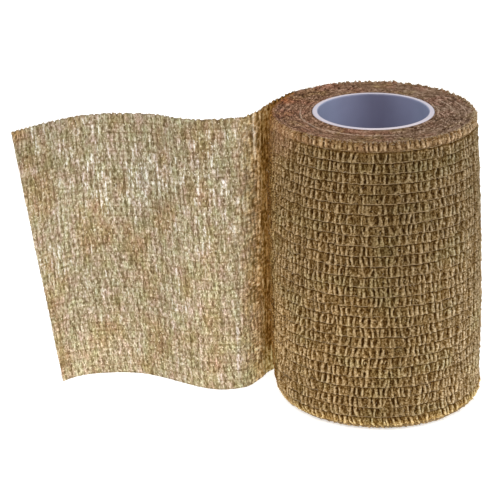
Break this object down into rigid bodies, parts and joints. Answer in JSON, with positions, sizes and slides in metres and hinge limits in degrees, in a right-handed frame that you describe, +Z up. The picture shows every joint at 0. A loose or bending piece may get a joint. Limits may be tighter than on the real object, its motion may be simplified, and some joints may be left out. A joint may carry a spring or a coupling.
{
  "type": "cohesive bandage roll",
  "caption": "Crinkled elastic bandage wound on a plastic core, standing on end with its sheer loose end drawn out in soft waves.",
  "frame": {"origin": "middle of the whole footprint, on the surface that the roll stands on", "axes": "+Z up along the roll's axis, +X from the loose end towards the roll, +Y away from the viewer"},
  "size_m": [0.1166, 0.054, 0.0754],
  "materials": {
    "wound_cloth": "matte crinkled elastic cloth",
    "loose_cloth": "matte sheer elastic cloth",
    "core_plastic": "satin moulded plastic"
  },
  "bodies": {
    "root": {"wound_roll": "wound_cloth", "loose_end": "loose_cloth", "core_tube": "core_plastic"}
  },
  "joints": []
}
